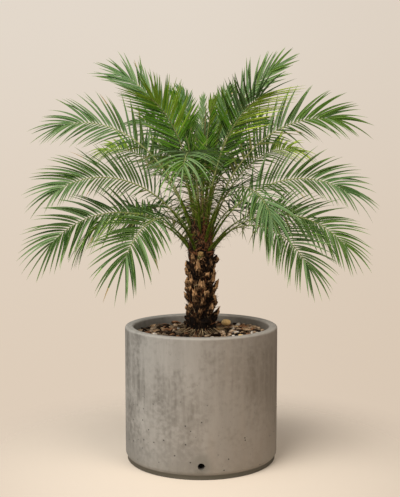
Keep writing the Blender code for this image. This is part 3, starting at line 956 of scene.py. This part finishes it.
def add_boot(pile, shape, azimuth, height, radius, sizes, lean):
    """One old leaf base: a broad ragged scale that stands up and out from the trunk, with painted light
    and shade at each point.
    """
    width, thickness, length = sizes
    matrix = (
        Matrix.Rotation(azimuth, 4, "Z")
        @ Matrix.Translation((radius, 0, height))
        @ Matrix.Rotation(lean, 4, "Y")
        @ Matrix.Rotation(gauss(0, 0.10), 4, "X")
        @ Matrix.Rotation(-math.pi / 2, 4, "Z")
    )
    seed = Vector([uniform(0, 50) for _ in range(3)])
    slant = uniform(-0.9, 0.9)
    # Leaf bases are coloured darker towards the trunk's foot
    darker_near_foot = 1.0 - 0.62 * clamp(1.0 - (height - TRUNK_FOOT) / 0.060)
    weathered = uniform(0.60, 1.07) * darker_near_foot
    clear = clamp((height + 0.3 * length - TRUNK_FOOT - 0.012) / 0.060)
    points = []
    shades = []
    for across, out, up in shape[0] * (2, 2, 1) + (0, 0, 0.5):
        narrowing = 1.0 - 0.42 * up**1.8
        lens = 1.0 - 0.50 * across**2
        x = across * width / 2 * narrowing
        grain = noise.noise(Vector((x * 420, seed.x, up * 1.6)))
        ragged = noise.noise(Vector((x * 260, seed.y, out * 0.5)))
        y = out * thickness / 2 * lens * (1.0 - 0.25 * up)
        y += 0.26 * thickness * up**3 - x * x / (2.2 * TRUNK_RADIUS)
        y += 0.0016 * grain * (1 if out > 0 else 0)
        z = up * length * (1.0 - 0.12 * across**2 + 0.10 * across * slant)
        z += length * up**4 * (0.42 * ragged - 0.05)
        z -= length * 0.19 * up**3 * (out + 1)
        local = Vector((x, y, z))
        local += jitter(local + seed, 0.011, 0.0022)
        local += jitter(local + seed, 0.004, 0.0010)
        # Painted light: the outer face lighter towards its top and middle, where light falls
        painted_light_and_shade = (0.18 + 0.36 * up**0.8 * (1.0 - 0.60 * across**2)) * weathered
        # Painted shade on the inner side, which faces the trunk
        if out < 0:
            painted_light_and_shade *= 0.25
        # The cut top: paler fibre, and also painted light
        if up > 0.99:
            painted_light_and_shade = 0.75 * weathered * (1.0 - 0.40 * across**2) * (1.0 - 0.20 * out**2)
        painted_light_and_shade += 0.42 * grain + 0.40 * noise.noise(seed + local * 190)
        points.append(matrix @ local)
        # Near the foot the value is pulled darker still
        shades.append(max(-0.2, painted_light_and_shade * (0.10 + 0.90 * clear) - 0.20 * (1.0 - clear)))
    pile.add(np.array(points), shape[1], 0)
    return shades


def boots_mesh():
    pile = Pile("leaf_bases")
    shape = box_template(9)
    shades = []
    lowest = TRUNK_FOOT - 0.3 * BOOT_LENGTH
    rise = (TRUNK_HEIGHT - 0.6 * BOOT_LENGTH) / BOOT_COUNT
    for number in range(BOOT_COUNT):
        height = lowest + rise * number
        radius = trunk_radius(number / BOOT_COUNT) - 0.0015
        sizes = (
            BOOT_WIDTH * uniform(0.75, 1.20),
            BOOT_THICKNESS * uniform(0.75, 1.25),
            BOOT_LENGTH * uniform(0.72, 1.30),
        )
        lean = BOOT_LEAN * uniform(0.6, 1.35)
        azimuth = number * GOLDEN_ANGLE + gauss(0, 0.08)
        shades += add_boot(pile, shape, azimuth, height + gauss(0, 0.003), radius, sizes, lean)
    mesh = pile.mesh()
    mesh.attributes.new("painted_shading", "FLOAT", "POINT").data.foreach_set("value", shades)
    return mesh


def column_mesh():
    """The fibrous column behind the leaf bases, painted dark as shade in the gaps between them, with the
    heart above it.
    """
    bm = bmesh.new()
    painted_shading = bm.verts.layers.float.new("painted_shading")
    made = bmesh.ops.create_grid(bm, x_segments=40, y_segments=46, size=0.5)
    top = HEART_TOP + 0.004
    for vert in made["verts"]:
        out = outward((vert.co.x + 0.5) * math.tau)
        height = TRUNK_FOOT - 0.004 + (vert.co.y + 0.5) * (top - TRUNK_FOOT + 0.004)
        if height > TRUNK_TOP:
            radius = heart_radius(height)
        else:
            share = (height - TRUNK_FOOT) / TRUNK_HEIGHT
            radius = trunk_radius(share)
            radius += (HEART_RADIUS - TRUNK_RADIUS) * max(0.0, (share - 0.75) / 0.25)
            radius += (TRUNK_FLARE_RADIUS - trunk_radius(0)) * max(0.0, 1 - share / 0.12) ** 1.5
        if vert.co.y > 0.499:
            radius = 0.0005
        ridge = noise.noise(out * 5 + UP * (height * 30))
        fine = noise.noise(out * 22 + UP * (height * 60))
        radius *= 1.0 + (0.05 * ridge + 0.035 * fine if radius > 0.01 else 0.0)
        vert.co = out * radius + UP * height
        # Painted shade: low values keep the column dark, a little lighter at the heart
        vert[painted_shading] = 0.15 + 0.16 * fine + 0.14 * clamp((height - TRUNK_TOP) / 0.02)
    bmesh.ops.remove_doubles(bm, verts=bm.verts, dist=0.00005)
    return mesh_of(bm, "trunk_column")


def drawn(value):
    """A number as it is, or one drawn from a range."""
    return uniform(*value) if isinstance(value, tuple) else value


def strand(pile, height, radius, length, width, tilt, lean, mix, sag, curl, profile=STRIP_PROFILE):
    """A strip of fibre on the trunk, mixed from dark, rust and straw ones by their shares.

    Sizes, lean and sag may be ranges to draw from. Tilt is a spread or a range to either side,
    and curl a spread.
    """
    azimuth = uniform(0, math.tau)
    height = drawn(height)
    radius = drawn(radius)
    length = drawn(length)
    width = drawn(width)
    if isinstance(tilt, tuple):
        tilt = RANDOM.choice((-1, 1)) * uniform(*tilt)
    else:
        tilt = gauss(0, tilt)
    lean = drawn(lean)
    slot = RANDOM.choices((0, 1, 2), mix)[0]
    sag = drawn(sag)
    curl = gauss(0, curl)
    out = outward(azimuth)
    along = (UP * math.cos(tilt) + sideways(out) * math.sin(tilt)).normalized()
    along = (along * math.cos(lean) + out * math.sin(lean)).normalized()
    across = out.cross(along).normalized()
    base = out * radius + UP * height
    points = blade_points(base, along, across, length, width, sag, profile, STRAND_FOLD, curl=curl)
    pile.add(points, BLADE_FACES, slot)


def strands_mesh():
    """Fibre round the leaf bases, the matted sheaths of the heart, loose sheaths and hairs."""
    pile = Pile("trunk_fibres")
    for _ in range(380):
        height = uniform(TRUNK_FOOT + 0.01, TRUNK_TOP - 0.02)
        share = (height - TRUNK_FOOT) / TRUNK_HEIGHT
        radius = TRUNK_RADIUS + 0.004 * (1 - share) + uniform(0.000, 0.009)
        strand(
            pile, height - 0.01, radius, length=(0.014, 0.036), width=(0.0010, 0.0028), tilt=0.60,
            lean=(0.05, 0.50), mix=(6, 3, 1.4), sag=(0.0, 0.3), curl=0.10,
        )
    for _ in range(300):
        height = TRUNK_TOP - 0.018 + 0.115 * RANDOM.random()
        radius = heart_radius(height) + uniform(0.0005, 0.0035)
        strand(
            pile, height, radius, length=(0.012, 0.030), width=(0.0016, 0.0050), tilt=(0.2, 1.4),
            lean=(-0.20, 0.15), mix=(5, 7, 0.15), sag=0.0, curl=0.06,
        )
    for _ in range(80):
        height = TRUNK_TOP + uniform(0.035, 0.090)
        inner = 0.9 * heart_radius(height)
        strand(
            pile, height, (inner, inner + 0.012), length=(0.020, 0.055), width=(0.0016, 0.0042),
            tilt=0.35, lean=(-0.10, 0.30), mix=(5, 5, 0), sag=(0.0, 0.2), curl=0.12,
        )
    for _ in range(120):
        height = TRUNK_TOP - 0.02 + 0.12 * RANDOM.random()
        strand(
            pile, height, heart_radius(height), length=(0.020, 0.055), width=(0.0006, 0.0012),
            tilt=0.9, lean=(0.2, 1.2), mix=(0, 3, 1), sag=(0.0, 0.5), curl=0.20,
            profile=SPINE_PROFILE,
        )
    return pile.mesh()


def roots_mesh():
    """A dark skirt round the trunk's foot, and surface roots that splay from it over the mulch."""
    pile = Pile("surface_roots")
    foot, side = TRUNK_FOOT, TRUNK_RADIUS
    skirt = {
        "height": (foot + 0.012, foot + 0.034),
        "radius": (side + 0.003, side + 0.009),
        "length": (0.010, 0.022),
        "width": (0.0025, 0.0050),
        "lean": (math.radians(95), math.radians(150)),
        "mix": (12, 1, 0.6),
    }
    root = {
        "height": (foot + 0.010, foot + 0.024),
        "radius": (side + 0.004, side + 0.022),
        "length": (0.028, 0.058),
        "width": (0.0012, 0.0026),
        "lean": (math.radians(86), math.radians(104)),
        "mix": (3, 1.0, 4.0),
    }
    for number in range(420):
        kind = skirt if number % 5 < 2 else root
        strand(pile, **kind, tilt=0.30, sag=(0.05, 0.28), curl=0.16, profile=SPINE_PROFILE)
    return pile.mesh()


def make_cut_petiole():
    """The stump of a leaf cut off at the front: green sides and a pale fibrous cut."""
    bm = bmesh.new()
    made = bmesh.ops.create_cone(bm, cap_ends=True, segments=12, radius1=0.5, radius2=0.42, depth=1.0)
    aim = (
        Matrix.Rotation(math.radians(268), 4, "Z")
        @ Matrix.Translation((TRUNK_RADIUS + 0.007, 0, TRUNK_TOP - 0.016))
        @ Matrix.Rotation(math.radians(16), 4, "Y")
        @ Matrix.Rotation(-math.pi / 2, 4, "Z")
        @ Matrix.Diagonal((0.021, 0.014, 0.026, 1.0))
    )
    bmesh.ops.transform(bm, matrix=aim, verts=made["verts"])
    cut = max(bm.faces, key=lambda face: face.calc_center_median().z if len(face.verts) > 4 else 0)
    lip = bmesh.ops.inset_region(bm, faces=[cut], thickness=0.0015)
    for vert in cut.verts:
        vert.co.z -= 0.0012
    for face in [cut, *lip["faces"]]:
        face.material_index = 1
    bmesh.ops.subdivide_edges(bm, edges=[edge for edge in bm.edges if edge.calc_length() > 0.01], cuts=4)
    for vert in bm.verts:
        vert.co += jitter(vert.co + Vector((3, 7, 1)), 0.006, 0.0012)
        if vert.co.z > TRUNK_TOP - 0.009:
            vert.co.z += 0.002 * noise.noise(vert.co * 400)
    for face in bm.faces:
        if face.calc_center_median().z > TRUNK_TOP - 0.014:
            face.material_index = 1
    materials = [
        fibre_material("cut_petiole_side", STEM, (0.120, 0.135, 0.025), (0.035, 0.040, 0.008)),
        fibre_material("cut_petiole_end", STRAND, (0.480, 0.310, 0.120), (0.180, 0.105, 0.038)),
    ]
    finish_piece(mesh_of(bm, "cut_petiole"), materials, ["trunk"], smooth_angle=50)


def make_trunk():
    strands = [
        fibre_material("dark_fibre", STRAND, (0.030, 0.016, 0.008), (0.006, 0.004, 0.002)),
        fibre_material("rust_fibre", STRAND, (0.220, 0.086, 0.036), (0.054, 0.020, 0.008)),
        fibre_material("straw_fibre", STRAND, (0.560, 0.420, 0.240), (0.240, 0.160, 0.080)),
    ]
    relief = trunk_material()
    for mesh, materials, angle in (
        (column_mesh(), [relief], 50),
        (boots_mesh(), [relief], 50),
        (strands_mesh(), strands, 0),
        (roots_mesh(), strands, 0),
    ):
        finish_piece(mesh, materials, ["trunk"], smooth_angle=angle)


def make_spear():
    """The unopened leaf: a slim pleated rod that tapers to a point."""
    bm = bmesh.new()
    foot = Vector((0, 0, HEART_TOP - 0.002))
    lean = Vector((math.sin(SPEAR_LEAN), 0, math.cos(SPEAR_LEAN)))
    made = bmesh.ops.create_circle(bm, cap_ends=True, segments=14, radius=SPEAR_RADIUS)
    for number, vert in enumerate(made["verts"]):
        vert.co.xy *= 1.0 if number % 2 else 0.72
        vert.co += foot
    ring = bm.edges[:]
    sizes = (1.0, 1.1, 1.15, 1.1, 1.0, 0.9, 0.75, 0.55, 0.30, 0.06)
    step = lean * (SPEAR_LENGTH / (len(sizes) - 1))
    for number in range(1, len(sizes)):
        grown = bmesh.ops.extrude_edge_only(bm, edges=ring)["geom"]
        ring = [item for item in grown if isinstance(item, bmesh.types.BMEdge) and item.is_boundary]
        centre = foot + step * (number - 1)
        for vert in grown:
            if isinstance(vert, bmesh.types.BMVert):
                vert.co = centre + step + (vert.co - centre) * (sizes[number] / sizes[number - 1])
    bmesh.ops.holes_fill(bm, edges=ring)
    material = fibre_material("spear_leaf", STEM, (0.270, 0.215, 0.090), (0.095, 0.095, 0.030))
    finish_piece(mesh_of(bm, "spear"), [material], ["spear_leaf"], smooth_angle=30)


# Mulch


def chip_template():
    """A blunt-ended slab with rounded corners, one unit long, wide and thick."""
    bm = bmesh.new()
    bmesh.ops.create_cube(bm, size=1.0)
    bmesh.ops.subdivide_edges(bm, edges=bm.edges, cuts=1, use_grid_fill=True)
    for vert in bm.verts:
        vert.co.x *= 1.0 - 0.28 * abs(vert.co.y * 2) ** 2
        vert.co.y *= 1.0 - 0.35 * abs(vert.co.x * 2) ** 2
        vert.co.z *= 1.0 - 0.30 * abs(vert.co.x * 2)
    return template(bm)


def pebble_template():
    bm = bmesh.new()
    bmesh.ops.create_icosphere(bm, subdivisions=2, radius=0.5)
    return template(bm)


def scatter(pile, shape, centre, sizes, turn, tilt, rough, slot):
    """One copy of a small shape, scaled, roughened, turned and set in its place."""
    points, faces = shape
    shifts = np.array([[uniform(-rough, rough) for _ in range(3)] for _ in points])
    grown = (points + shifts) * np.array(sizes)
    rotation = np.array(Matrix.Rotation(turn, 3, "Z") @ Matrix.Rotation(tilt, 3, "X"))
    pile.add(grown @ rotation.T + np.array(centre), faces, slot)


def mulch_spot(inner, outer):
    radius = math.sqrt(uniform(inner**2, outer**2))
    angle = uniform(0, math.tau)
    return radius * math.cos(angle), radius * math.sin(angle)


def mulch_height(x, y):
    """The mulch lies a little lower towards the wall and in small hollows."""
    edge = math.hypot(x, y) / 0.22
    return MULCH_TOP - 0.003 * edge**2 + 0.0045 * noise.noise(Vector((x * 14, y * 14, 3.0)))


def make_soil():
    bm = bmesh.new()
    bmesh.ops.create_circle(bm, cap_ends=True, segments=64, radius=SOIL_RADIUS)
    bmesh.ops.inset_region(bm, faces=bm.faces, thickness=0.03)
    bmesh.ops.poke(bm, faces=[max(bm.faces, key=lambda face: face.calc_area())])
    bmesh.ops.subdivide_edges(bm, edges=bm.edges, cuts=3, use_grid_fill=True)
    for vert in bm.verts:
        vert.co.z = mulch_height(vert.co.x, vert.co.y) - 0.008
    soil = cloud_material("damp_soil", SOIL, (0.050, 0.030, 0.018), (0.010, 0.006, 0.004))
    finish_piece(mesh_of(bm, "soil"), [soil], ["mulch"])


def make_chips():
    chips = [
        cloud_material("dark_bark", BARK, (0.040, 0.021, 0.009), (0.007, 0.004, 0.002)),
        cloud_material("red_bark", BARK, (0.360, 0.180, 0.090), (0.105, 0.044, 0.018)),
        cloud_material("tan_bark", BARK, (0.620, 0.420, 0.250), (0.220, 0.132, 0.066)),
        cloud_material("grey_bark", BARK, (0.330, 0.240, 0.160), (0.080, 0.054, 0.032)),
    ]
    slab = chip_template()
    pile = Pile("bark_chips")
    for _ in range(CHIPS):
        x, y = mulch_spot(MULCH_INNER_RADIUS, MULCH_OUTER_RADIUS)
        length = RANDOM.triangular(0.009, 0.040, 0.016)
        layer = uniform(-0.007, 0.006)
        sizes = (length, length * uniform(0.35, 0.75), uniform(0.003, 0.007))
        turn = uniform(0, math.tau)
        tilt = gauss(0, 0.45)
        slot = RANDOM.choices((0, 1, 2, 3), (5.5, 2.8, 2.8, 3.4))[0]
        scatter(pile, slab, (x, y, mulch_height(x, y) + layer), sizes, turn, tilt, 0.13, slot)
    finish_piece(pile.mesh(), chips, ["mulch"], smooth_angle=35)


def make_pebbles():
    """One ochre pebble beside the trunk, and smaller ones, most of them on the right."""
    stones = [
        cloud_material("pale_pebble", PEBBLE, (0.66, 0.60, 0.52), (0.36, 0.31, 0.25)),
        cloud_material("cream_pebble", PEBBLE, (0.50, 0.36, 0.23), (0.26, 0.17, 0.10)),
        cloud_material("ochre_pebble", PEBBLE, (0.90, 0.62, 0.28), (0.76, 0.48, 0.18)),
    ]
    ball = pebble_template()
    pile = Pile("pebbles")
    scatter(pile, ball, (0.086, 0.138, MULCH_TOP + 0.012), (0.034, 0.028, 0.024), 0.3, 0.1, 0.02, 2)
    for _ in range(PEBBLES):
        x, y = mulch_spot(0.055, 0.210)
        if x < 0.03 and RANDOM.random() < 0.93:
            continue
        size = RANDOM.triangular(0.009, 0.025, 0.013)
        sizes = (size, size * uniform(0.65, 0.95), size * uniform(0.5, 0.75))
        turn = uniform(0, math.tau)
        tilt = gauss(0, 0.3)
        slot = RANDOM.choices((0, 1, 2), (2, 5, 0.3))[0]
        scatter(pile, ball, (x, y, mulch_height(x, y) + 0.0065), sizes, turn, tilt, 0.03, slot)
    finish_piece(pile.mesh(), stones, ["mulch"], smooth_angle=60)


# Pot


def make_pot():
    """The concrete shell, turned finely, with a foot that steps in and a drilled drain hole."""
    outer = POT_DIAMETER / 2
    inner = outer - RIM_WALL
    foot = outer - FOOT_INSET
    profile = [(0.0, POT_FLOOR), (inner - 0.013, POT_FLOOR)]
    steps = 6
    for centre, start in ((inner + RIM_ROUNDING, math.pi), (outer - RIM_ROUNDING, math.pi / 2)):
        for step in range(steps + 1):
            angle = start - math.pi / 2 * step / steps
            height = POT_HEIGHT - RIM_ROUNDING * (1 - math.sin(angle))
            profile.append((centre + RIM_ROUNDING * math.cos(angle), height))
    profile += [(outer, 0.30), (outer, 0.15), (outer, FOOT_HEIGHT + 0.010)]
    profile += [(outer - 0.0008, FOOT_HEIGHT + 0.005), (outer - 0.0028, FOOT_HEIGHT + 0.001)]
    profile += [(foot, FOOT_HEIGHT - 0.003), (foot - 0.001, 0.006), (foot, 0.002)]
    profile += [(foot - 0.002, 0.0), (0.0, 0.0)]
    bm = bmesh.new()
    corners = [bm.verts.new((radius, 0.0, height)) for radius, height in profile]
    edges = [bm.edges.new(pair) for pair in zip(corners, corners[1:])]
    turned = {"geom": [*corners, *edges], "cent": (0, 0, 0), "axis": (0, 0, 1)}
    bmesh.ops.spin(bm, **turned, angle=math.tau, steps=144, use_merge=True)
    bmesh.ops.remove_doubles(bm, verts=bm.verts, dist=0.00005)
    pot = finish_piece(mesh_of(bm, "pot_shell"), [concrete_material()], ["pot"])

    bm = bmesh.new()
    aim = Matrix.Translation((0, -outer + RIM_WALL / 2, DRAIN_HOLE_HEIGHT))
    aim = aim @ Matrix.Rotation(math.pi / 2, 4, "X")
    sizes = {"radius1": DRAIN_HOLE_DIAMETER / 2, "radius2": DRAIN_HOLE_DIAMETER / 2, "depth": 4 * RIM_WALL}
    bmesh.ops.create_cone(bm, cap_ends=True, segments=40, **sizes, matrix=aim)
    drill = in_scene("drill", mesh_of(bm, "drill"))
    cut = pot.modifiers.new("Drain hole", "BOOLEAN")
    cut.operation = "DIFFERENCE"
    cut.object = drill
    drilled = made_mesh(pot)
    pot.modifiers.clear()
    pot.data = drilled
    bpy.data.objects.remove(drill)


# Studio


def make_floor():
    """A pale floor that fades into the backdrop away from the pot."""
    bm = bmesh.new()
    bmesh.ops.create_circle(bm, cap_ends=True, segments=96, radius=FLOOR_RADIUS)
    floor = in_scene("floor", mesh_of(bm, "floor"))
    material, tree, shader = new_material("pale_floor", 0.85, 0.2)
    shader.inputs["Base Color"].default_value = colour(0.76, 0.665, 0.56)
    away = vectors(tree, "LENGTH", place(tree))["Value"]
    tree.links.new(ranged(tree, away, *FLOOR_FADE, 1.0, 0.0), shader.inputs["Alpha"])
    floor.data.materials.append(material)


def make_world():
    """Warm pale backdrop, darker below the horizon and with painted shade towards the right, with soft
    neutral light from all round and more from above.
    """
    world = bpy.data.worlds.new("studio")
    bpy.context.scene.world = world
    world.use_nodes = True
    tree = world.node_tree
    tree.nodes.clear()
    direction = put(tree, "TexCoord").outputs["Generated"]
    axes = put(tree, "SeparateXYZ", {"Vector": direction}).outputs
    up = ranged(tree, axes["Z"], -0.2, 0.9)
    light = blend(tree, up, colour(0.66, 0.55, 0.44), colour(1.05, 1.06, 1.08))
    above_horizon = ranged(tree, axes["Z"], -0.25, 0.25)
    painted_light_and_shade = blend(tree, above_horizon, colour(0.73, 0.61, 0.49), colour(0.77, 0.69, 0.60))
    # Painted shade: the backdrop darker towards the right
    painted_shade_to_right = ranged(tree, axes["X"], -0.05, 0.25, 0.0, 0.14)
    painted_light_and_shade = blend(tree, painted_shade_to_right, painted_light_and_shade, colour(0.50, 0.38, 0.27))
    seen = put(tree, "LightPath").outputs["Is Camera Ray"]
    lit = put(tree, "Background", {"Color": light, "Strength": 0.23})
    backdrop = put(tree, "Background", {"Color": painted_light_and_shade, "Strength": 1.0})
    mixed = put(tree, "MixShader", {0: seen, 1: lit.outputs[0], 2: backdrop.outputs[0]})
    put(tree, "OutputWorld", {"Surface": mixed.outputs[0]})


def make_lamp(name, where, aim, size, power, tone):
    lamp = bpy.data.lights.new(name, "AREA")
    lamp.shape = "DISK"
    lamp.size = size
    lamp.energy = power
    lamp.color = tone
    obj = in_scene(name, lamp)
    obj.location = where
    obj.rotation_euler = (Vector(aim) - Vector(where)).to_track_quat("-Z", "Y").to_euler()


# The photo's camera, as it was fitted to the pot
PHOTO_HEIGHT = 497
FOCAL_PIXELS = 874
SENSOR = 36.0
CAMERA_PLACE = (-0.0038, -2.85, 0.928)
CAMERA_DIP = 4.74


def make_camera():
    camera = bpy.data.cameras.new("camera")
    camera.sensor_width = SENSOR
    camera.lens = FOCAL_PIXELS * SENSOR / PHOTO_HEIGHT
    obj = in_scene("camera", camera)
    obj.location = CAMERA_PLACE
    obj.rotation_euler = (math.radians(90 - CAMERA_DIP), 0, 0)
    bpy.context.scene.camera = obj


make_camera()
make_world()
make_lamp("key", (-2.1, -2.5, 3.1), (0, 0, 0.8), 3.6, 230, (1.0, 0.97, 0.92))
make_lamp("fill", (2.2, -2.3, 2.4), (0, 0, 0.7), 2.6, 68, (1.0, 0.90, 0.78))
make_floor()
make_pot()
make_soil()
make_chips()
make_pebbles()
make_trunk()
make_cut_petiole()
make_spear()
make_fronds()
bpy.context.scene.view_settings.view_transform = "Standard"
